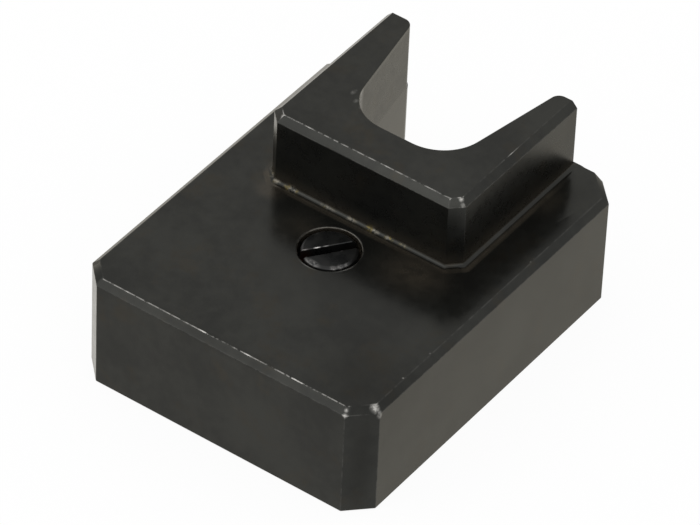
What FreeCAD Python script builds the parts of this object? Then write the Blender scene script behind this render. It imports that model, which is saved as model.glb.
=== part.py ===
import FreeCAD, Part
import Sketcher
import math
import os

# Crimping die with a slot for the ferrule. Millimetres, +Z up.
# Origin: middle of the underside. +X runs along the front edge, +Y to the open end of the slot.

doc = FreeCAD.newDocument("CrimpingDie")
sheet = doc.addObject("Spreadsheet::Sheet", "Dims")
sizes = {
    # Base block
    "base_width": 40.0,  # side to side
    "base_length": 50.1,  # front to rear
    "base_height": 15.5,  # underside to top face
    "base_corner": 2.8,  # cut on each upright corner
    "top_bevel": 0.8,  # bevel along the top edges of base and boss
    "bottom_bevel": 0.3,  # bevel along the bottom edges
    # Boss at the rear, a narrow ledge behind it
    "boss_width": 26.7,  # side to side
    "boss_depth": 23.3,  # front face to rear face
    "boss_height": 9.5,  # above the base
    "boss_setback": 0.65,  # rear face of the boss from the rear face of the base
    "boss_shift": 0.1,  # boss centre line from the middle of the base
    "boss_corner": 1.45,  # cut on the upright front corners
    "foot_radius": 0.5,  # fillet where the boss meets the base, no wider than the ledge beside it
    "foot_clearance": 0.05,  # flat left between that fillet and the corner bevel
    # Slot for the ferrule, straight through boss and base, open to the rear
    "slot_floor_width": 14.0,  # between the walls at the floor, corners sharp
    "slot_depth": 18.05,  # rear face of the base to slot floor
    "slot_wall_angle": 10.4,  # each wall leans outward, degrees
    "slot_corner_radius": 5.75,  # round between wall and floor
    "slot_mouth_radius": 1.2,  # rounding where the walls meet the rear face of the boss, wider in the base
    "slot_shift": 0.55,  # slot centre line from the middle of the base
    "rim_radius": 0.15,  # rounding of the slot's top edge
    # Fixing screw, M4 cheese head, sunk in front of the boss
    "screw_shift": 0.0,  # screw axis from the middle of the base
    "screw_from_front": 20.6,  # front face to screw axis
    "thread_diameter": 4.0,  # outside of the thread
    "thread_clearance": 0.05,  # all round the thread
    "screw_length": 12.0,  # under the head
    "screw_tip": 0.5,  # bevel at the screw's end
    "head_diameter": 6.7,  # screw head
    "head_height": 2.6,  # screw head
    "head_rounding": 0.45,  # upper rim of the head
    "head_clearance": 0.35,  # all round the head in its seat
    "head_recess": 0.1,  # head below the top face
    "driver_slot_width": 1.2,  # slot in the head
    "driver_slot_depth": 1.3,  # slot in the head
    "driver_slot_turn": 53.0,  # slot direction from +X, degrees
    # Cuts run this far past the faces they open
    "overshoot": 1.0,  # cutting bodies past a face
}
for row, (alias, value) in enumerate(sizes.items(), start=1):
    sheet.set(f"A{row}", alias)
    sheet.set(f"B{row}", str(value))
    sheet.setAlias(f"B{row}", alias)
doc.recompute()


def bind(item, **bindings):
    """Tie properties to the sheet; a double underscore stands for a dot."""
    for name, formula in bindings.items():
        item.setExpression(name.replace("__", "."), formula)


def body_named(label):
    body = doc.addObject("PartDesign::Body", label)
    body.Label = label
    return body


def origin_plane(body, role):
    return next(item for item in body.Origin.OriginFeatures if item.Role == role)


def primitive(body, kind, name, **bindings):
    """A box or cylinder feature, laid on the body's XY plane."""
    item = body.newObject(f"PartDesign::{kind}", name)
    item.AttachmentSupport = [(origin_plane(body, "XY_Plane"), "")]
    item.MapMode = "FlatFace"
    bind(item, **bindings)
    doc.recompute()
    return item


def edges_of(feature, wanted):
    """Names of the edges whose middle point and direction the test accepts."""
    names = []
    for index, edge in enumerate(feature.Shape.Edges, start=1):
        middle = edge.valueAt((edge.FirstParameter + edge.LastParameter) / 2)
        ends = [vertex.Point for vertex in edge.Vertexes]
        run = ends[-1] - ends[0]
        if wanted(middle, run, edge):
            names.append(f"Edge{index}")
    return names


def dress(body, kind, name, wanted, **bindings):
    """A fillet or chamfer on the chosen edges of the body's last feature."""
    base = body.Tip
    item = body.newObject(f"PartDesign::{kind}", name)
    item.Base = (base, edges_of(base, wanted))
    bind(item, **bindings)
    doc.recompute()
    return item


tolerance = 1e-4


def near(first, second):
    return abs(first - second) < tolerance


def is_upright(run):
    return not near(run.z, 0) and near(run.x, 0) and near(run.y, 0)


def is_level(run):
    return near(run.z, 0)


half_width = sizes["base_width"] / 2
half_length = sizes["base_length"] / 2
base_top = sizes["base_height"]
boss_top = base_top + sizes["boss_height"]
boss_rear = half_length - sizes["boss_setback"]
boss_front = boss_rear - sizes["boss_depth"]
slot_floor = half_length - sizes["slot_depth"]


def add_base(body):
    primitive(
        body, "AdditiveBox", "BaseBlock",
        Length="Dims.base_width",
        Width="Dims.base_length",
        Height="Dims.base_height",
        AttachmentOffset__Base__x="-Dims.base_width / 2",
        AttachmentOffset__Base__y="-Dims.base_length / 2",
    )
    dress(
        body, "Chamfer", "BaseCorners",
        lambda middle, run, edge: is_upright(run),
        Size="Dims.base_corner",
    )


def add_boss(body):
    primitive(
        body, "AdditiveBox", "Boss",
        Length="Dims.boss_width",
        Width="Dims.boss_depth + Dims.boss_setback",
        Height="Dims.boss_height",
        AttachmentOffset__Base__x="Dims.boss_shift - Dims.boss_width / 2",
        AttachmentOffset__Base__y="Dims.base_length / 2 - Dims.boss_setback - Dims.boss_depth",
        AttachmentOffset__Base__z="Dims.base_height",
    )
    dress(
        body, "Chamfer", "BossCorners",
        lambda middle, run, edge: is_upright(run) and middle.z > base_top and near(middle.y, boss_front),
        Size="Dims.boss_corner",
    )


def bevel_edges(body):
    """Bevels on the top edges of base and boss, none on their rear edges, and round the underside."""

    def on_base_rim(middle, run, edge):
        side = max(abs(middle.x) - half_width, abs(middle.y) - half_length)
        corner = abs(middle.x) + abs(middle.y) - (half_width + half_length - sizes["base_corner"])
        at_rim = near(side, 0) or near(corner, 0)
        return is_level(run) and near(middle.z, base_top) and at_rim and not near(middle.y, half_length)

    def on_boss_rim(middle, run, edge):
        return is_level(run) and near(middle.z, boss_top) and not near(middle.y, half_length)

    dress(body, "Chamfer", "BaseBevel", on_base_rim, Size="Dims.top_bevel")
    dress(body, "Chamfer", "BossBevel", on_boss_rim, Size="Dims.top_bevel")
    dress(
        body, "Chamfer", "BottomBevel",
        lambda middle, run, edge: is_level(run) and near(middle.z, 0),
        Size="Dims.bottom_bevel",
    )


def round_foot(body):
    """Fillet between boss and base on the three sides that stand clear of the rear face."""

    def on_foot(middle, run, edge):
        beside = abs(middle.x - sizes["boss_shift"]) < sizes["boss_width"] / 2 + tolerance
        behind = middle.y > boss_front - tolerance and not near(middle.y, half_length)
        return is_level(run) and near(middle.z, base_top) and beside and behind

    ledge = "(Dims.base_width - Dims.boss_width) / 2 - abs(Dims.boss_shift)"
    corner_reach = "(Dims.base_corner + sqrt(2) * Dims.top_bevel + Dims.foot_clearance)"
    dress(
        body, "Fillet", "FootFillet", on_foot,
        Radius=f"min(Dims.foot_radius; {ledge} - {corner_reach})",
    )


def set_boss_back(body):
    """Cut the boss off in front of the rear face, so that a narrow ledge stays behind it."""
    primitive(
        body, "SubtractiveBox", "RearLedge",
        Length="Dims.base_width",
        Width="Dims.boss_setback + Dims.overshoot",
        Height="Dims.boss_height + Dims.overshoot",
        AttachmentOffset__Base__x="-Dims.base_width / 2",
        AttachmentOffset__Base__y="Dims.base_length / 2 - Dims.boss_setback",
        AttachmentOffset__Base__z="Dims.base_height",
    )


def cut_slot(body):
    """Slot with leaning walls and rounded floor corners, through everything and out at the rear."""
    lean = math.tan(math.radians(sizes["slot_wall_angle"]))
    floor_half = sizes["slot_floor_width"] / 2
    mouth = half_length + sizes["overshoot"]
    mouth_half = floor_half + (mouth - slot_floor) * lean
    shift = sizes["slot_shift"]
    corners = [
        FreeCAD.Vector(shift - floor_half, slot_floor, 0),
        FreeCAD.Vector(shift + floor_half, slot_floor, 0),
        FreeCAD.Vector(shift + mouth_half, mouth, 0),
        FreeCAD.Vector(shift - mouth_half, mouth, 0),
    ]
    uncut = body.Tip.Shape
    sketch = body.newObject("Sketcher::SketchObject", "SlotOutline")
    sketch.AttachmentSupport = [(origin_plane(body, "XY_Plane"), "")]
    sketch.MapMode = "FlatFace"
    for index, corner in enumerate(corners):
        sketch.addGeometry(Part.LineSegment(corner, corners[(index + 1) % 4]), False)
    floor, right, opening, left = range(4)
    start, end = 1, 2
    for line in range(4):
        sketch.addConstraint(Sketcher.Constraint("Coincident", line, end, (line + 1) % 4, start))
    sketch.addConstraint(Sketcher.Constraint("Horizontal", floor))
    sketch.addConstraint(Sketcher.Constraint("Horizontal", opening))
    sketch.addConstraint(Sketcher.Constraint("Equal", right, left))

    def measured(constraint, formula):
        number = sketch.addConstraint(constraint)
        sketch.setExpression(f"Constraints[{number}]", formula)

    measured(
        Sketcher.Constraint("DistanceX", floor, start, floor, end, 2 * floor_half),
        "Dims.slot_floor_width",
    )
    measured(
        Sketcher.Constraint("DistanceY", -1, start, floor, start, slot_floor),
        "Dims.base_length / 2 - Dims.slot_depth",
    )
    measured(
        Sketcher.Constraint("DistanceY", right, start, right, end, mouth - slot_floor),
        "Dims.slot_depth + Dims.overshoot",
    )
    measured(
        Sketcher.Constraint("DistanceX", opening, end, opening, start, 2 * mouth_half),
        "Dims.slot_floor_width + 2 * (Dims.slot_depth + Dims.overshoot) * tan(Dims.slot_wall_angle * 1deg)",
    )
    measured(
        Sketcher.Constraint("DistanceX", floor, start, -1, start, floor_half - shift),
        "Dims.slot_floor_width / 2 - Dims.slot_shift",
    )
    pocket = body.newObject("PartDesign::Pocket", "Slot")
    pocket.Profile = sketch
    pocket.Type = "ThroughAll"
    pocket.Reversed = True
    doc.recompute()
    if pocket.Shape.Volume > uncut.Volume - sizes["slot_depth"] * sizes["slot_floor_width"] * base_top:
        raise RuntimeError("the slot did not cut the block")

    def in_floor_corner(middle, run, edge):
        aside = abs(abs(middle.x - shift) - floor_half)
        return is_upright(run) and near(middle.y, slot_floor) and near(aside, 0)

    def at_mouth(rear):
        reach = floor_half + (rear - slot_floor) * lean
        return lambda middle, run, edge: (
            is_upright(run) and near(middle.y, rear) and near(abs(middle.x - shift), reach))

    dress(body, "Fillet", "SlotCorners", in_floor_corner, Radius="Dims.slot_corner_radius")
    dress(body, "Fillet", "BossMouth", at_mouth(boss_rear), Radius="Dims.slot_mouth_radius")
    dress(
        body, "Fillet", "BaseMouth", at_mouth(half_length),
        Radius="Dims.slot_mouth_radius + Dims.boss_setback",
    )


def round_slot_rim(body):
    """Rounding along the slot's top edge, from one side of the boss's rear edge to the other."""
    dress(
        body, "Fillet", "SlotRim",
        lambda middle, run, edge: is_level(run) and near(middle.z, boss_top) and near(middle.y, boss_rear),
        Radius="Dims.rim_radius",
    )


def bore_screw_seat(body):
    place = dict(
        AttachmentOffset__Base__x="Dims.screw_shift",
        AttachmentOffset__Base__y="Dims.screw_from_front - Dims.base_length / 2",
    )
    primitive(
        body, "SubtractiveCylinder", "HeadSeat",
        Radius="Dims.head_diameter / 2 + Dims.head_clearance",
        Height="Dims.head_height + Dims.head_recess + Dims.overshoot",
        AttachmentOffset__Base__z="Dims.base_height - Dims.head_height - Dims.head_recess",
        **place,
    )
    primitive(
        body, "SubtractiveCylinder", "ThreadHole",
        Radius="Dims.thread_diameter / 2 + Dims.thread_clearance",
        Height="Dims.base_height + Dims.overshoot",
        AttachmentOffset__Base__z="-Dims.overshoot",
        **place,
    )


def make_die_block():
    body = body_named("die_block")
    add_base(body)
    add_boss(body)
    bevel_edges(body)
    round_foot(body)
    set_boss_back(body)
    cut_slot(body)
    round_slot_rim(body)
    bore_screw_seat(body)
    return body


def make_fixing_screw():
    """Cheese-head screw, head up; the thread is a plain cylinder."""
    body = body_named("fixing_screw")
    bind(
        body,
        Placement__Base__x="Dims.screw_shift",
        Placement__Base__y="Dims.screw_from_front - Dims.base_length / 2",
        Placement__Base__z="Dims.base_height - Dims.head_recess - Dims.head_height",
    )
    primitive(
        body, "AdditiveCylinder", "Head",
        Radius="Dims.head_diameter / 2",
        Height="Dims.head_height",
    )
    primitive(
        body, "AdditiveCylinder", "Thread",
        Radius="Dims.thread_diameter / 2",
        Height="Dims.screw_length",
        AttachmentOffset__Base__z="-Dims.screw_length",
    )

    def circle_at(height):
        return lambda middle, run, edge: edge.isClosed() and near(middle.z, height)

    dress(body, "Fillet", "HeadRim", circle_at(sizes["head_height"]), Radius="Dims.head_rounding")
    dress(body, "Chamfer", "ScrewEnd", circle_at(-sizes["screw_length"]), Size="Dims.screw_tip")
    slot = primitive(
        body, "SubtractiveBox", "DriverSlot",
        Length="Dims.head_diameter + 2 * Dims.overshoot",
        Width="Dims.driver_slot_width",
        Height="Dims.driver_slot_depth + Dims.overshoot",
    )
    upwards = FreeCAD.Vector(0, 0, 1)
    slot.AttachmentOffset = FreeCAD.Placement(
        FreeCAD.Vector(), FreeCAD.Rotation(upwards, sizes["driver_slot_turn"]))
    turn = "Dims.driver_slot_turn * 1deg"
    half_run = "(Dims.head_diameter / 2 + Dims.overshoot)"
    half_gap = "Dims.driver_slot_width / 2"
    bind(
        slot,
        AttachmentOffset__Rotation__Angle=turn,
        AttachmentOffset__Base__x=f"{half_gap} * sin({turn}) - {half_run} * cos({turn})",
        AttachmentOffset__Base__y=f"-{half_gap} * cos({turn}) - {half_run} * sin({turn})",
        AttachmentOffset__Base__z="Dims.head_height - Dims.driver_slot_depth",
    )
    doc.recompute()
    return body


parts = [make_die_block(), make_fixing_screw()]
doc.recompute()

for item in doc.Objects:
    if "Invalid" in item.State or "Error" in item.State:
        raise RuntimeError(f"{item.Label} did not build: {item.State}")
for body in parts:
    if body.Shape.isNull() or not body.Shape.isValid() or len(body.Shape.Solids) != 1:
        raise RuntimeError(f"{body.Label} has no sound solid")

os.makedirs("parts", exist_ok=True)
for body in parts:
    body.Shape.exportStep(f"parts/{body.Label}.step")
    box = body.Shape.BoundBox
    print(f"{body.Label}: volume {body.Shape.Volume:.2f} mm3, "
          f"x {box.XMin:.2f}..{box.XMax:.2f}, y {box.YMin:.2f}..{box.YMax:.2f}, z {box.ZMin:.2f}..{box.ZMax:.2f}")
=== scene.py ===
import bpy
import bmesh
import math
from mathutils import Matrix, Vector


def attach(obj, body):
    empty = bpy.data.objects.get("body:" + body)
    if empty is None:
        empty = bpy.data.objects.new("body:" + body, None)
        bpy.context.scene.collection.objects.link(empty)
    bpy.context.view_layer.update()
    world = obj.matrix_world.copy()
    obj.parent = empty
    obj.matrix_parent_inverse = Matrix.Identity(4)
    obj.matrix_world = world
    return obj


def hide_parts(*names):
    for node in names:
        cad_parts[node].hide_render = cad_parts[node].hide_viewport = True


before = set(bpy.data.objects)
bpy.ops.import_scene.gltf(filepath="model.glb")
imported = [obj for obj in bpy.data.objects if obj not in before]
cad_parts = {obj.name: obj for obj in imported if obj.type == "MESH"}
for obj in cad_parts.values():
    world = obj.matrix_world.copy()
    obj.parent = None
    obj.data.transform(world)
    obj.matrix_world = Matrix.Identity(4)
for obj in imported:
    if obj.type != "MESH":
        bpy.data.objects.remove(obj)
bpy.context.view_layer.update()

mm = 0.001
touching = 0.001 * mm  # points nearer than this are one
closeBy = 0.01 * mm  # near enough to belong to a rim or a face
slant = math.sqrt(0.5)  # a step of 1 at 45 degrees, along each axis

bpy.context.scene.view_settings.view_transform = "Standard"


# Camera: a long lens, so the block is drawn almost without perspective
cameraSetup = {
    "aim": (-0.0916, -0.1196, 10.2936),  # mm, the point in the middle of the picture
    "distance": 699.27,  # mm from that point
    "azimuth": 34.385,  # degrees round from the front
    "elevation": 41.678,
    "roll": 2.641,
    "lens": 316.3,
    "sensor": 36.0,
    "nearest": 0.01,  # m, nothing closer is drawn
}


def makeCamera():
    azimuth = math.radians(cameraSetup["azimuth"])
    elevation = math.radians(cameraSetup["elevation"])
    roll = math.radians(cameraSetup["roll"])
    back = Vector((
        math.sin(azimuth) * math.cos(elevation),
        -math.cos(azimuth) * math.cos(elevation),
        math.sin(elevation),
    ))
    right = Vector((math.cos(azimuth), math.sin(azimuth), 0))
    up = back.cross(right)
    side = right * math.cos(roll) + up * math.sin(roll)
    top = up * math.cos(roll) - right * math.sin(roll)
    camera = bpy.data.objects.new("camera", bpy.data.cameras.new("camera"))
    camera.data.lens = cameraSetup["lens"]
    camera.data.sensor_width = cameraSetup["sensor"]
    camera.data.clip_start = cameraSetup["nearest"]
    turn = Matrix((side, top, back)).transposed().to_4x4()
    place = Vector(cameraSetup["aim"]) * mm + back * cameraSetup["distance"] * mm
    camera.matrix_world = Matrix.Translation(place) @ turn
    bpy.context.collection.objects.link(camera)
    bpy.context.scene.camera = camera
    print("camera set")


# Small helpers for building materials
noiseRange = (0.3, 0.7)  # nearly all of a noise pattern lies between these


def addNode(tree, kind, **settings):
    node = tree.nodes.new(kind)
    for name, value in settings.items():
        setattr(node, name, value)
    return node


def plug(tree, source, socket):  # a socket is linked, a number or colour is set
    if isinstance(source, bpy.types.NodeSocket):
        tree.links.new(source, socket)
    else:
        socket.default_value = source


def calc(tree, operation, first, second, third=0.0, clamp=False):
    node = addNode(tree, "ShaderNodeMath", operation=operation, use_clamp=clamp)
    for source, socket in zip((first, second, third), node.inputs):
        plug(tree, source, socket)
    return node.outputs[0]


def times(tree, first, *others):
    for other in others:
        first = calc(tree, "MULTIPLY", first, other)
    return first


def most(tree, first, *others):
    for other in others:
        first = calc(tree, "MAXIMUM", first, other)
    return first


def blend(tree, amount, first, second):
    node = addNode(tree, "ShaderNodeMix", data_type="RGBA")
    plug(tree, amount, node.inputs["Factor"])
    plug(tree, first, node.inputs[6])  # sockets 6, 7 and 2 are the node's colours
    plug(tree, second, node.inputs[7])
    return node.outputs[2]


def spread(tree, value, low, high, toLow=0.0, toHigh=1.0, smooth=True):
    kind = "SMOOTHSTEP" if smooth else "LINEAR"
    node = addNode(tree, "ShaderNodeMapRange", interpolation_type=kind)
    plug(tree, value, node.inputs["Value"])
    plug(tree, low, node.inputs["From Min"])
    plug(tree, high, node.inputs["From Max"])
    plug(tree, toLow, node.inputs["To Min"])
    plug(tree, toHigh, node.inputs["To Max"])
    return node.outputs[0]


def cloud(tree, place, size, detail, roughness, shift):  # noise, size and shift in mm
    turn = addNode(tree, "ShaderNodeMapping")
    plug(tree, place, turn.inputs["Vector"])
    turn.inputs["Location"].default_value = [value * mm for value in shift]
    node = addNode(tree, "ShaderNodeTexNoise")
    plug(tree, turn.outputs[0], node.inputs["Vector"])
    node.inputs["Scale"].default_value = 1 / (size * mm)
    node.inputs["Detail"].default_value = detail
    node.inputs["Roughness"].default_value = roughness
    return node.outputs["Fac"]


def distance(tree, place, centre, stretch):  # from a point in mm, a stretched axis counts for less
    turn = addNode(tree, "ShaderNodeMapping", vector_type="TEXTURE")
    plug(tree, place, turn.inputs["Vector"])
    turn.inputs["Location"].default_value = [value * mm for value in centre]
    turn.inputs["Scale"].default_value = stretch
    node = addNode(tree, "ShaderNodeVectorMath", operation="LENGTH")
    plug(tree, turn.outputs[0], node.inputs[0])
    return node.outputs["Value"]


def placed(tree, place, spots):  # each spot is full in its middle and nothing from its radius outwards
    total = 0.0
    for centre, radius, stretch, strength in spots:
        near = spread(tree, distance(tree, place, centre, stretch), radius * mm, 0.0)
        total = most(tree, total, times(tree, near, strength))
    return total


def addBump(tree, shader, height, strength, depth):  # depth in mm
    bump = addNode(tree, "ShaderNodeBump")
    bump.inputs["Strength"].default_value = strength
    bump.inputs["Distance"].default_value = depth * mm
    plug(tree, height, bump.inputs["Height"])
    plug(tree, bump.outputs[0], shader.inputs["Normal"])


def newMaterial(name):
    material = bpy.data.materials.new(name)
    material.use_nodes = True
    tree = material.node_tree
    place = addNode(tree, "ShaderNodeTexCoord").outputs["Object"]
    return material, tree, tree.nodes["Principled BSDF"], place


# Black oxide on milled steel, worn bright along its edges
oxideFinish = {
    "deep": (0.0240, 0.0245, 0.0230, 1),
    "pale": (0.0335, 0.0340, 0.0310, 1),
    "rusty": (0.038, 0.031, 0.021, 1),
    # bare steel colour, also used for painted highlights on the seat's rim
    "bareAndGlint": (0.72, 0.70, 0.66, 1),
    "oil": (0.21, 0.165, 0.050, 1),
    "crumb": (0.24, 0.22, 0.18, 1),
    "film": (0.052, 0.044, 0.033, 1),
    # near-black colour of the painted shade
    "paintedShade": (0.008, 0.008, 0.007, 1),
    "metallic": 0.86,
    "filmMetallic": 0.56,
    "slantTint": (0.86, 0.83, 0.76, 1),  # tint of the gloss seen at a slant
    "cloudShare": 0.65,  # share of the slow changes in the shade, the rest is mottle
    "rustShare": 0.35,
    "stripFilm": 0.8,  # how thick the film is on the strip beside the boss
    "footFilm": 0.5,  # and at the foot of its walls
    "filmLeast": 0.65,  # what is left of the film where it is patchy
    "edgeLeast": 0.03,  # wear that every edge has
    "frontWear": 0.34,  # along the base's front edge
    "bossWear": 0.28,  # along the boss's front edge
    "knockLeast": 0.3,  # what is left of a knocked place where it is patchy
    "smoothTop": (0.17, 0.23),  # roughness of the ground top faces
    "milledWall": (0.25, 0.33),  # roughness of the boss's walls
    "oilRoughness": 0.4,  # added where the oil lies
    "mottleRelief": 1.5,  # height of the mottle against 1 for the grain
    "bumpStrength": 0.15,
    "bumpDepth": 0.01,  # mm
}

# Noise patterns of the finish: size in mm, detail, roughness, shift in mm
oxideNoise = {
    "clouds": (9.0, 3.0, 0.55, (0, 0, 0)),
    "mottle": (1.3, 4.0, 0.6, (3, 7, 1)),
    "grain": (0.30, 2.0, 0.6, (5, 2, 9)),
    "rust": (5.0, 4.0, 0.7, (11, 4, 6)),
    "crumbs": (0.45, 3.0, 0.7, (1, 8, 3)),
    "oilKinds": (1.1, 2.0, 0.6, (6, 3, 5)),
    "wear": (0.9, 4.0, 0.65, (2, 2, 2)),
}

# Where a pattern's effect is nothing and where it is full
oxideRanges = {
    "shade": (0.35, 0.65),
    "rust": (0.52, 0.72),
    "crumbs": (0.40, 0.60),
    "oilKinds": (0.42, 0.58),
    "film": (0.25, 0.60),
    "wear": (0.36, 0.60),
}

# Places on the block in mm, where an effect is nothing and where it is full
oxideBands = {
    "filmStart": (0.40, 0.55),  # outwards from the boss's walls
    "filmEnd": (1.25, 1.00),
    "filmRear": (22.5, 18.0),  # along y
    "filmLeft": (-14.25, -13.25),  # along x
    "filmLevel": (15.2, 15.3),  # up z
    "footOut": (0.1, 0.0),  # through the walls, outwards and inwards
    "footIn": (-0.1, -0.02),
    "footTop": (18.0, 16.0),
    "seat": (3.8, 3.75),  # outwards from the screw's axis
    "seatLevel": (15.45, 15.30),
    "rimStart": (3.74, 3.84),
    "rimEnd": (4.05, 3.93),
    "frontY": (-24.1, -24.2),  # the base's front edge
    "frontZ": (15.3, 15.4),
    "bossY": (2.05, 1.95),  # the boss's front edge
    "bossZ": (24.8, 24.9),
    "wallBottom": (15.7, 16.2),
    "wallTop": (24.7, 24.2),
}

# Rubbed places on the edges: middle (mm), radius, stretch along x, y, z, strength
rubbedEdges = (
    ((-2.3, -24.25, 15.5), 1.0, (2.3, 1, 1), 1.0),
    ((3.3, -24.25, 15.5), 1.0, (0.9, 1, 1), 0.9),
    ((9.6, -24.25, 15.5), 1.0, (2.6, 1, 1), 1.0),
    ((-11.3, -24.25, 15.5), 1.0, (1.3, 1, 1), 0.5),
    ((-13.5, -24.25, 15.5), 0.8, (1, 1, 1), 0.5),
    ((17.2, -24.3, 15.4), 0.7, (1, 1, 1), 0.9),
    ((17.2, -25.0, 14.7), 0.6, (1, 1, 1), 0.6),
    ((19.4, -22.3, 15.2), 0.9, (1, 1, 1), 1.0),
    ((12.6, 2.7, 25.0), 0.6, (1, 1, 1), 0.9),
    ((13.2, 2.1, 24.4), 0.6, (1, 1, 1), 0.7),
    ((-11.7, 1.9, 25.0), 0.9, (1, 1, 1), 0.7),
    ((-8.5, 1.9, 25.0), 1.0, (2.2, 1, 1), 0.5),
    ((2.4, 1.9, 25.0), 1.0, (2.4, 1, 1), 0.45),
    ((12.6, 12.2, 25.0), 1.0, (1, 2.2, 1), 0.35),
    ((0.0, -4.45, 15.4), 5.5, (1, 1, 1), 1.0),
)

# Knocked corners and nicks, bare beyond the edge itself
knockedCorners = (
    ((19.35, -22.35, 15.20), 0.75, (1, 1, 1), 0.85),
    ((19.85, -22.20, 14.50), 0.45, (1, 1, 1.8), 0.45),
    ((17.05, -24.60, 15.25), 0.40, (1, 1, 1), 0.40),
    ((17.20, -25.05, 14.70), 0.45, (1, 1, 1), 0.35),
    ((12.75, 2.60, 24.95), 0.45, (1, 1, 1), 0.60),
    ((13.20, 2.30, 24.50), 0.45, (1, 1, 1), 0.55),
    ((-11.75, 1.75, 24.95), 0.35, (1, 1, 1), 0.45),
    ((19.05, -16.7, 15.5), 0.20, (1, 1, 1), 0.55),
    ((19.05, -11.6, 15.5), 0.20, (1, 1, 1), 0.55),
    ((19.07, 7.85, 15.5), 0.16, (1, 1, 1), 1.0),
    ((19.02, 8.55, 15.5), 0.13, (1, 1, 1), 0.9),
    ((-7.60, 10.05, 25.0), 0.40, (1, 1.8, 1), 0.13),
    ((-6.50, 8.90, 25.0), 0.40, (1, 1.3, 1), 0.11),
    ((-5.30, 8.30, 25.0), 0.35, (1.3, 1, 1), 0.09),
)

# Dried oil in the corner under the boss: middle, radius, stretch, strength
oilTraces = (
    ((-12.6, 1.6, 15.75), 0.70, (1, 1, 1), 0.8),
    ((-11.5, 1.0, 15.75), 0.60, (1.2, 1, 1), 0.8),
    ((-9.4, 0.95, 15.65), 0.80, (1.6, 1, 1), 1.0),
    ((-4.2, 0.95, 15.65), 0.60, (2.5, 1, 1), 0.35),
    ((-1.0, 0.95, 15.65), 0.60, (2.0, 1, 1), 0.5),
    ((2.0, 0.95, 15.65), 0.80, (1.6, 1, 1), 1.0),
    ((4.3, 0.95, 15.65), 0.60, (1.5, 1, 1), 0.8),
    ((6.3, 0.95, 15.65), 0.50, (1.5, 1, 1), 0.4),
)

# Thin brown film wiped over the base's top near the boss: middle, radius, stretch, strength
filmPlaces = (
    ((9.8, -1.8, 15.5), 6.5, (1.1, 0.85, 1), 1.0),
    ((-4.5, -3.6, 15.5), 4.0, (1.3, 1, 1), 0.55),
    ((-11.2, -0.4, 15.5), 3.0, (1, 0.8, 1), 0.8),
    ((15.0, 17.5, 15.5), 3.2, (0.7, 1.2, 1), 0.6),
)

# Painted shade: places where the colour is darkened to stand for shade: middle, radius, stretch, strength
paintedShadePlaces = (
    ((15.5, -19.0, 15.5), 9.0, (1, 1, 1), 0.40),
    ((16.6, 20.7, 15.5), 5.0, (1, 1, 1), 0.30),
    ((12.2, 1.75, 22.4), 2.4, (1, 1, 1.1), 0.45),
    ((18.6, -23.6, 8.0), 2.4, (1, 1, 5), 0.40),
    ((0.0, -24.65, 15.1), 1.2, (20, 1, 1), 0.35),
)

# Painted highlights: bright arcs at the rim of the screw's seat, each the part of the rim that lies in a spot
seatRimGlints = (
    ((3.5, -6.1, 15.5), 1.7, (1, 1, 1), 0.32),
    ((-0.3, -8.4, 15.5), 1.6, (1, 1, 1), 0.14),
)


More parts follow.
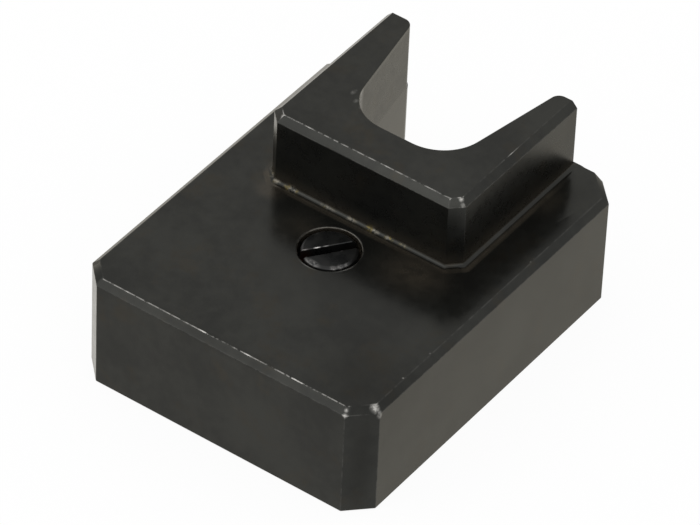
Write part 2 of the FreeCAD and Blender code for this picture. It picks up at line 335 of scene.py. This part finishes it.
def blackOxide():
    material, tree, shader, place = newMaterial("blackOxide")
    finish = oxideFinish
    axes = addNode(tree, "ShaderNodeSeparateXYZ")
    plug(tree, place, axes.inputs[0])
    along, across, height = axes.outputs

    def noise(name):
        return cloud(tree, place, *oxideNoise[name])

    def band(value, name):
        nothing, full = oxideBands[name]
        return spread(tree, value, nothing * mm, full * mm)

    mottle = noise("mottle")
    mottleShade = times(tree, mottle, 1 - finish["cloudShare"])
    shade = calc(tree, "MULTIPLY_ADD", noise("clouds"), finish["cloudShare"], mottleShade)
    colour = blend(tree, spread(tree, shade, *oxideRanges["shade"]), finish["deep"], finish["pale"])
    rust = spread(tree, noise("rust"), *oxideRanges["rust"])
    colour = blend(tree, times(tree, rust, finish["rustShare"]), colour, finish["rusty"])
    # Painted shade: the colour is darkened towards near-black in a few listed places
    colour = blend(tree, placed(tree, place, paintedShadePlaces), colour, finish["paintedShade"])

    # Dried oil sits in the fillet at the foot of the boss
    crumbs = spread(tree, noise("crumbs"), *oxideRanges["crumbs"])
    oil = times(tree, placed(tree, place, oilTraces), crumbs)
    kinds = spread(tree, noise("oilKinds"), *oxideRanges["oilKinds"])
    colour = blend(tree, oil, colour, blend(tree, kinds, finish["oil"], finish["crumb"]))

    # Reach is how far a point lies out from the boss's front and side walls and cut corners
    left, right = dieBlock["bossSides"]
    overRight = calc(tree, "SUBTRACT", along, right * mm)
    overLeft = calc(tree, "SUBTRACT", left * mm, along)
    beside = most(tree, overRight, overLeft)
    ahead = calc(tree, "SUBTRACT", dieBlock["bossFront"] * mm, across)
    both = calc(tree, "ADD", beside, ahead)
    cornerWay = calc(tree, "MULTIPLY_ADD", both, slant, dieBlock["bossCorner"] * slant * mm)
    reach = most(tree, beside, ahead, cornerWay)

    # A brown film lies beside those walls and on their foot, in the screw's seat and in a few wiped places
    strip = times(tree, band(reach, "filmStart"), band(reach, "filmEnd"), band(across, "filmRear"),
                  band(along, "filmLeft"), band(height, "filmLevel"))
    foot = times(tree, band(reach, "footOut"), band(reach, "footIn"), band(height, "footTop"))
    fromAxis = distance(tree, place, (*dieBlock["seatAxis"], dieBlock["baseTop"]), (1, 1, 100))
    inSeat = times(tree, band(fromAxis, "seat"), band(height, "seatLevel"))
    wiped = times(tree, placed(tree, place, filmPlaces), band(reach, "filmStart"))
    stripFilm = times(tree, strip, finish["stripFilm"])
    footFilm = times(tree, foot, finish["footFilm"])
    patchy = spread(tree, mottle, *oxideRanges["film"], finish["filmLeast"], 1.0)
    film = times(tree, most(tree, stripFilm, footFilm, inSeat, wiped), patchy)
    colour = blend(tree, film, colour, finish["film"])

    # Bare steel shows only on the edges, strongest where they were rubbed; the bright arcs at the seat's rim
    # are painted highlights in the same colour
    edge = addNode(tree, "ShaderNodeAttribute", attribute_name="edge").outputs["Fac"]
    rub = spread(tree, noise("wear"), *oxideRanges["wear"])
    frontLine = times(tree, band(across, "frontY"), band(height, "frontZ"), finish["frontWear"])
    bossLine = times(tree, band(across, "bossY"), band(height, "bossZ"), finish["bossWear"])
    amount = most(tree, frontLine, bossLine, finish["edgeLeast"], placed(tree, place, rubbedEdges))
    knockPatchy = spread(tree, rub, 0, 1, finish["knockLeast"], 1.0)
    knocks = times(tree, placed(tree, place, knockedCorners), knockPatchy)
    # Painted highlights: bright arcs on the seat's rim, in the bare steel colour
    seatRimGlint = times(tree, band(fromAxis, "rimStart"), band(fromAxis, "rimEnd"), placed(tree, place, seatRimGlints))
    wornAndGlint = most(tree, times(tree, edge, amount, rub), knocks, seatRimGlint)
    colour = blend(tree, wornAndGlint, colour, finish["bareAndGlint"])
    plug(tree, colour, shader.inputs["Base Color"])

    # The top faces are ground, the walls of the boss are milled and duller
    wall = times(tree, band(height, "wallBottom"), band(height, "wallTop"))
    smoothTop = spread(tree, mottle, *noiseRange, *finish["smoothTop"], smooth=False)
    milledWall = spread(tree, mottle, *noiseRange, *finish["milledWall"], smooth=False)
    rougher = calc(tree, "SUBTRACT", milledWall, smoothTop)
    roughness = calc(tree, "MULTIPLY_ADD", wall, rougher, smoothTop)
    roughness = calc(tree, "MULTIPLY_ADD", oil, finish["oilRoughness"], roughness)
    plug(tree, roughness, shader.inputs["Roughness"])
    metallic = spread(tree, film, 0, 1, finish["metallic"], finish["filmMetallic"], smooth=False)
    plug(tree, metallic, shader.inputs["Metallic"])
    shader.inputs["Specular Tint"].default_value = finish["slantTint"]

    relief = calc(tree, "MULTIPLY_ADD", mottle, finish["mottleRelief"], noise("grain"))
    relief = times(tree, relief, spread(tree, wall, 0, 1, 1.0, 0.0))  # none on the boss's walls
    addBump(tree, shader, relief, finish["bumpStrength"], finish["bumpDepth"])
    return material


# Small helpers for the pieces
smoothUpTo = 28  # degrees, a sharper edge keeps a hard line in the shading
mergeUpTo = 0.5  # degrees, flatter neighbours are one face


def breakEdges(shape, edges, width, segments):  # width in mm, gives the new faces
    made = bmesh.ops.bevel(shape, geom=edges, offset=width * mm, offset_type="OFFSET",
                           affect="EDGES", segments=segments, profile=0.5, material=-1)
    return made["faces"]


def cutAcross(shape, point, normal, **settings):  # a plane's cut through the whole shape
    return bmesh.ops.bisect_plane(shape, geom=shape.verts[:] + shape.edges[:] + shape.faces[:],
                                  plane_co=point, plane_no=normal, **settings)


def copyOfNode(name):  # the CAD solid's shape as a mesh to work on, its loose triangles joined
    shape = bmesh.new()
    shape.from_mesh(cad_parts[name].data)
    bmesh.ops.remove_doubles(shape, verts=shape.verts, dist=touching)
    bmesh.ops.dissolve_limit(shape, angle_limit=math.radians(mergeUpTo), verts=shape.verts, edges=shape.edges)
    return shape


def finishPiece(name, shape, material, node):
    mesh = bpy.data.meshes.new(name)
    bmesh.ops.recalc_face_normals(shape, faces=shape.faces)
    shape.normal_update()
    for face in shape.faces:
        face.smooth = True
    for edge in shape.edges:
        edge.smooth = edge.calc_face_angle(0) < math.radians(smoothUpTo)
    shape.to_mesh(mesh)
    shape.free()
    mesh.materials.append(material)
    piece = bpy.data.objects.new(name, mesh)
    bpy.context.collection.objects.link(piece)
    even = piece.modifiers.new("evenShading", "WEIGHTED_NORMAL")  # flat faces stay flat beside their bevels
    even.keep_sharp = True
    even.weight = 100
    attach(piece, "root")
    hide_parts(node)
    print(f"{name}: {len(mesh.polygons)} faces")


# Die block
dieBlock = {
    "edgeSoftness": 0.07,  # mm, break on every sharp edge
    "uprightSoftness": 0.03,  # the same on the boss's upright edges
    "sharpFrom": 31,  # degrees between two faces, from which their edge is broken
    "shortest": 0.12,  # edges shorter than this are left
    "edgeReach": 0.1,  # how far from its expected place an edge is looked for
    "seatChamfer": 0.20,  # at the screw's seat
    "seatWear": 0.35,  # how much that chamfer wears, against 1 on the edges
    "seatAxis": (0.0, -4.45),
    "seatRadius": 3.7,
    "baseTop": 15.5,
    "bossSides": (-13.25, 13.45),
    "bossFront": 1.10,
    "bossCorner": 1.45,
    "bossFoot": 0.2,  # upright edges of the boss lie at least this far above the base
    "mouthStart": 23.3,  # where the slot's walls begin to round off
    "millStrip": 0.70,  # strip left round the boss by the last cut
    "millSlopes": {"front": 0.17, "corner": 0.28, "side": 0.50},  # width of the little step at its outer side
    "millStep": 0.09,  # height of that step
    "millMerge": 0.4,  # degrees, flatter neighbours become one face
}


def millStep(shape):  # the ledge round the boss lies a hair lower than the strip beside its walls
    size = dieBlock
    left, right = size["bossSides"]
    front, corner = size["bossFront"], size["bossCorner"]
    slopes = size["millSlopes"]
    level = size["baseTop"] * mm
    sides = (  # a point of each wall, the way out from it and the width of its slope
        ((left, 0), (-1, 0), slopes["side"]),
        ((right, 0), (1, 0), slopes["side"]),
        ((0, front), (0, -1), slopes["front"]),
        ((left, front + corner), (-slant, -slant), slopes["corner"]),
        ((right, front + corner), (slant, -slant), slopes["corner"]),
    )
    untouched = (0.999, closeBy)  # least upward lean of a face, most distance from the base's top
    withSlope = (0.8, 0.2 * mm)

    def topFaces(lean, away):
        return [face for face in shape.faces
                if face.normal.z > lean and abs(face.calc_center_median().z - level) < away]

    for share in (0, 1):
        for (x, y), (u, v), slope in sides:
            reach = size["millStrip"] + share * slope
            faces = topFaces(*untouched)
            edges = list({edge for face in faces for edge in face.edges})
            verts = list({vert for face in faces for vert in face.verts})
            bmesh.ops.bisect_plane(shape, geom=verts + edges + faces, dist=touching / 2, plane_no=(u, v, 0),
                                   plane_co=((x + u * reach) * mm, (y + v * reach) * mm, level))
    for vert in {vert for face in topFaces(*untouched) for vert in face.verts}:
        shares = [((vert.co.x / mm - x) * u + (vert.co.y / mm - y) * v - size["millStrip"]) / slope
                  for (x, y), (u, v), slope in sides]
        vert.co.z -= min(max(shares + [0]), 1) * size["millStep"] * mm
    shape.normal_update()
    flat = math.radians(size["millMerge"])
    bmesh.ops.dissolve_limit(shape, angle_limit=flat, verts=shape.verts, edges=shape.edges)
    bmesh.ops.connect_verts_concave(shape, faces=topFaces(*withSlope))  # some bend round the boss
    print("step round the boss milled")


def makeDieBlock():
    size = dieBlock
    shape = copyOfNode("die_block")
    millStep(shape)
    edgeMark = shape.faces.layers.float.new("edge")
    axis = Vector(size["seatAxis"]) * mm

    def middleOf(edge):
        return (edge.verts[0].co + edge.verts[1].co) / 2

    def atBaseTop(edge):
        return abs(middleOf(edge).z - size["baseTop"] * mm) < size["edgeReach"] * mm

    def onSeatRim(edge):
        away = (middleOf(edge).xy - axis).length
        return abs(away - size["seatRadius"] * mm) < size["edgeReach"] * mm and atBaseTop(edge)

    def onRearLedge(edge):
        return middleOf(edge).y > size["mouthStart"] * mm and atBaseTop(edge)

    def isUpright(edge):
        first, second = (vert.co for vert in edge.verts)
        foot = (size["baseTop"] + size["bossFoot"]) * mm
        return (first - second).xy.length < touching and min(first.z, second.z) > foot

    def isSharp(edge):
        bend = edge.calc_face_angle(0)
        return bend > math.radians(size["sharpFrom"]) and edge.calc_length() > size["shortest"] * mm

    for face in breakEdges(shape, [edge for edge in shape.edges if onSeatRim(edge)], size["seatChamfer"], 3):
        face[edgeMark] = size["seatWear"]
    shape.normal_update()
    for upright, softness, wear in ((False, "edgeSoftness", 1.0), (True, "uprightSoftness", 0.0)):
        sharp = [edge for edge in shape.edges
                 if isSharp(edge) and isUpright(edge) == upright and not onRearLedge(edge)]
        for face in breakEdges(shape, sharp, size[softness], 2):
            face[edgeMark] = wear
    finishPiece("dieBlock", shape, blackOxide(), "die_block")


# Fixing screw: M4 cheese head with a thread under it
fixingScrew = {
    "axis": (0.0, -4.45),  # mm
    "headTop": 15.4,
    "headHeight": 2.6,
    "headRadius": 3.35,
    "headSides": 96,
    "rimRound": 0.45,
    "rimSegments": 6,
    "slotWidth": 1.2,
    "slotDepth": 1.3,
    "slotTurn": 53.0,  # degrees
    "slotBreak": 0.08,  # at the slot's upper edges
    "threadRadius": 2.0,
    "rootRadius": 1.62,
    "pitch": 0.7,
    "threadLength": 12.0,
    "threadRise": 0.3,  # how far it reaches up into the head
    "threadSteps": 48,  # in each turn
    "tip": 0.5,
}

screwFinish = {
    "deep": (0.022, 0.023, 0.023, 1),
    "pale": (0.031, 0.031, 0.030, 1),
    # bare steel colour, also used for painted highlights
    "bareAndGlint": (0.60, 0.58, 0.56, 1),
    "grease": (0.055, 0.016, 0.011, 1),
    "metallic": 0.85,
    "roughness": (0.24, 0.36),
    "mottle": (1.6, 2.0, 0.5, (3, 1, 1)),  # size in mm, detail, roughness, shift in mm
    "grain": (0.12, 2.0, 0.6, (0, 0, 0)),
    "wear": (0.5, 3.0, 0.6, (6, 2, 2)),
    "shadeRange": (0.35, 0.65),
    "wearRange": (0.30, 0.55),
    "bumpStrength": 0.25,
    "bumpDepth": 0.01,  # mm
}

# Painted highlights on the rim of the head, and worn places with painted highlights on the edges of its slot:
# middle, radius, stretch, strength
rimGlints = (
    ((-0.30, -7.45, 15.2), 0.60, (2.4, 1, 1), 0.34),
    ((2.20, -6.75, 15.2), 0.50, (1.2, 1, 1), 0.30),
    ((2.65, -6.10, 15.2), 0.50, (1, 1.3, 1), 0.30),
    ((2.95, -5.30, 15.2), 0.45, (1, 1.3, 1), 0.22),
    ((-2.75, -3.10, 15.2), 0.45, (1, 1.5, 1), 0.10),
)
slotWearAndGlints = (
    ((-1.27, -5.10, 15.4), 0.55, (1, 1, 1), 1.0),
    ((-2.40, -6.50, 15.4), 0.90, (1, 1, 1), 0.45),
    ((-0.60, -4.30, 15.4), 0.50, (1, 1, 1), 0.25),
    ((1.30, -3.90, 15.4), 0.30, (1, 1, 1), 0.5),
)
greaseSpots = (
    ((-1.80, -6.60, 14.4), 1.4, (1, 1, 1), 1.0),
    ((1.80, -2.05, 14.2), 1.0, (1, 1, 1), 0.4),
)


def screwSteel():
    material, tree, shader, place = newMaterial("screwSteel")
    finish = screwFinish
    mottle = cloud(tree, place, *finish["mottle"])
    colour = blend(tree, spread(tree, mottle, *finish["shadeRange"]), finish["deep"], finish["pale"])
    colour = blend(tree, placed(tree, place, greaseSpots), colour, finish["grease"])
    edge = addNode(tree, "ShaderNodeAttribute", attribute_name="edge").outputs["Fac"]
    rub = spread(tree, cloud(tree, place, *finish["wear"]), *finish["wearRange"])
    slotWearAndGlint = times(tree, edge, placed(tree, place, slotWearAndGlints))
    rimGlint = times(tree, placed(tree, place, rimGlints), rub)
    # Bare steel where the slot's edges are worn, with painted highlights on them and on the head's rim
    colour = blend(tree, most(tree, slotWearAndGlint, rimGlint), colour, finish["bareAndGlint"])
    plug(tree, colour, shader.inputs["Base Color"])
    roughness = spread(tree, mottle, *noiseRange, *finish["roughness"], smooth=False)
    plug(tree, roughness, shader.inputs["Roughness"])
    shader.inputs["Metallic"].default_value = finish["metallic"]
    grain = cloud(tree, place, *finish["grain"])
    addBump(tree, shader, grain, finish["bumpStrength"], finish["bumpDepth"])
    return material


def makeHead():
    size = fixingScrew
    radius, top = size["headRadius"] * mm, size["headHeight"] * mm
    slotFloor = top - size["slotDepth"] * mm
    half, slotBreak = size["slotWidth"] / 2 * mm, size["slotBreak"] * mm

    # A disc up to the slot's floor, then the two halves beside the slot drawn up
    shape = bmesh.new()
    bmesh.ops.create_cone(shape, cap_ends=True, segments=size["headSides"], radius1=radius, radius2=radius,
                          depth=slotFloor, matrix=Matrix.Translation((0, 0, slotFloor / 2)))
    for side in (-1, 1):
        cutAcross(shape, (0, side * half, 0), (0, 1, 0))
    halves = [face for face in shape.faces
              if face.normal.z > 0.9 and abs(face.calc_center_median().y) > half]
    drawn = bmesh.ops.extrude_face_region(shape, geom=halves)
    bmesh.ops.translate(shape, vec=(0, 0, size["slotDepth"] * mm),
                        verts=[item for item in drawn["geom"] if isinstance(item, bmesh.types.BMVert)])
    bmesh.ops.delete(shape, geom=halves, context="FACES_KEEP_BOUNDARY")
    bmesh.ops.recalc_face_normals(shape, faces=shape.faces)
    edgeMark = shape.faces.layers.float.new("edge")

    def atTop(vert):
        return abs(vert.co.z - top) < touching

    def besideSlot(vert):
        return abs(abs(vert.co.y) - half) < touching

    def onRim(edge):
        onCircle = all(abs(vert.co.xy.length - radius) < closeBy for vert in edge.verts)
        return onCircle and all(map(atTop, edge.verts)) and not all(map(besideSlot, edge.verts))

    breakEdges(shape, [edge for edge in shape.edges if onRim(edge)], size["rimRound"], size["rimSegments"])

    # The slot's upper edges are broken by a cut beside each and lowered corners
    for side in (-1, 1):
        cutAcross(shape, (0, side * (half + slotBreak), 0), (0, 1, 0))
    for vert in shape.verts:
        if besideSlot(vert) and atTop(vert):
            vert.co.z -= slotBreak
    for face in shape.faces:
        middle = face.calc_center_median()
        if half < abs(middle.y) < half + slotBreak and middle.z > top - slotBreak:
            face[edgeMark] = 1.0
    return shape


def makeThread():  # its profile is carried round and up, moved down and trimmed at both ends
    size = fixingScrew
    thread = bmesh.new()
    pitch, steps = size["pitch"] * mm, size["threadSteps"]
    turns = math.ceil(size["threadLength"] / size["pitch"]) + 2  # two to spare for the trimming
    low = thread.verts.new((size["rootRadius"] * mm, 0, 0))
    crest = thread.verts.new((size["threadRadius"] * mm, 0, pitch / 2))
    high = thread.verts.new((size["rootRadius"] * mm, 0, pitch))
    profile = [low, crest, high, thread.edges.new((low, crest)), thread.edges.new((crest, high))]
    bmesh.ops.spin(thread, geom=profile, cent=(0, 0, 0), axis=(0, 0, 1), dvec=(0, 0, pitch / steps),
                   angle=2 * math.pi * turns, steps=steps * turns, use_merge=False)
    bmesh.ops.remove_doubles(thread, verts=thread.verts, dist=2 * touching)
    drop = (size["threadLength"] + 1.5 * size["pitch"]) * mm
    bmesh.ops.translate(thread, verts=thread.verts, vec=(0, 0, -drop))
    for height, keepAbove in ((-size["threadLength"], True), (size["threadRise"], False)):
        cut = cutAcross(thread, (0, 0, height * mm), (0, 0, 1),
                        clear_inner=keepAbove, clear_outer=not keepAbove)
        loop = [item for item in cut["geom_cut"] if isinstance(item, bmesh.types.BMEdge)]
        bmesh.ops.edgeloop_fill(thread, edges=loop)
    for vert in thread.verts:  # the bevel at the screw's end
        reach = size["threadRadius"] - size["tip"] + (vert.co.z / mm + size["threadLength"])
        away = vert.co.xy.length / mm
        if away > reach:
            vert.co.xy *= reach / away
    bmesh.ops.recalc_face_normals(thread, faces=thread.faces)
    print("thread cut")
    return thread


def makeFixingScrew():
    size = fixingScrew
    shape = makeHead()
    thread = makeThread()
    threadMesh = bpy.data.meshes.new("threadPart")
    thread.to_mesh(threadMesh)
    thread.free()
    shape.from_mesh(threadMesh)
    bpy.data.meshes.remove(threadMesh)

    turn = Matrix.Rotation(math.radians(size["slotTurn"]), 3, "Z")
    bmesh.ops.rotate(shape, verts=shape.verts, cent=(0, 0, 0), matrix=turn)
    place = Vector((*size["axis"], size["headTop"] - size["headHeight"])) * mm
    bmesh.ops.translate(shape, verts=shape.verts, vec=place)
    finishPiece("fixingScrew", shape, screwSteel(), "fixing_screw")


# Studio: white all round, a pale floor and two soft lamps
studio = {
    "floorSize": 1.5,  # m, from its middle to its sides
    "floorColour": (0.96, 0.96, 0.96, 1),
    "floorWhite": 0.94,  # how much of the floor's look is the white backdrop, the rest shows the shadow
    "white": 1.0,  # strength of the backdrop as the camera and gloss see it
    "skyLight": 0.9,  # strength of the light that it sheds
    "keyLamp": ((-0.42, -0.66, 0.62), 0.7, 1.3),  # place and width in m, power in W
    "fillLamp": ((0.75, -0.75, 0.85), 0.8, 1.6),
    "lampAim": (0, 0, 0.01),
}


def litForEye(tree):  # 1 for what the camera sees directly, in gloss or through glass, else 0
    path = addNode(tree, "ShaderNodeLightPath")
    eye = calc(tree, "ADD", path.outputs["Is Camera Ray"], path.outputs["Is Glossy Ray"])
    return calc(tree, "ADD", eye, path.outputs["Is Transmission Ray"], clamp=True)


def makeStudio():
    world = bpy.data.worlds.new("studio")
    bpy.context.scene.world = world
    world.use_nodes = True
    tree = world.node_tree
    background = tree.nodes["Background"]
    background.inputs["Color"].default_value = (1, 1, 1, 1)
    strength = spread(tree, litForEye(tree), 0, 1, studio["skyLight"], studio["white"], smooth=False)
    plug(tree, strength, background.inputs["Strength"])

    floorShape = bmesh.new()
    bmesh.ops.create_grid(floorShape, x_segments=1, y_segments=1, size=studio["floorSize"])
    mesh = bpy.data.meshes.new("floor")
    floorShape.to_mesh(mesh)
    floorShape.free()
    floor = bpy.data.objects.new("floor", mesh)
    bpy.context.collection.objects.link(floor)
    material = bpy.data.materials.new("floorPaper")
    material.use_nodes = True
    tree = material.node_tree
    tree.nodes.remove(tree.nodes["Principled BSDF"])
    paper = addNode(tree, "ShaderNodeBsdfDiffuse")
    paper.inputs["Color"].default_value = studio["floorColour"]
    white = addNode(tree, "ShaderNodeEmission")
    white.inputs["Strength"].default_value = studio["white"]
    mix = addNode(tree, "ShaderNodeMixShader")
    plug(tree, times(tree, litForEye(tree), studio["floorWhite"]), mix.inputs[0])
    plug(tree, paper.outputs[0], mix.inputs[1])
    plug(tree, white.outputs[0], mix.inputs[2])
    plug(tree, mix.outputs[0], tree.nodes["Material Output"].inputs["Surface"])
    mesh.materials.append(material)

    for name in ("keyLamp", "fillLamp"):
        place, size, watts = studio[name]
        lamp = bpy.data.lights.new(name, "AREA")
        lamp.shape = "DISK"
        lamp.size = size
        lamp.energy = watts
        item = bpy.data.objects.new(name, lamp)
        bpy.context.collection.objects.link(item)
        item.location = place
        aim = Vector(place) - Vector(studio["lampAim"])
        item.rotation_euler = aim.to_track_quat("Z", "Y").to_euler()
    print("studio set")


makeCamera()
makeStudio()
makeDieBlock()
makeFixingScrew()
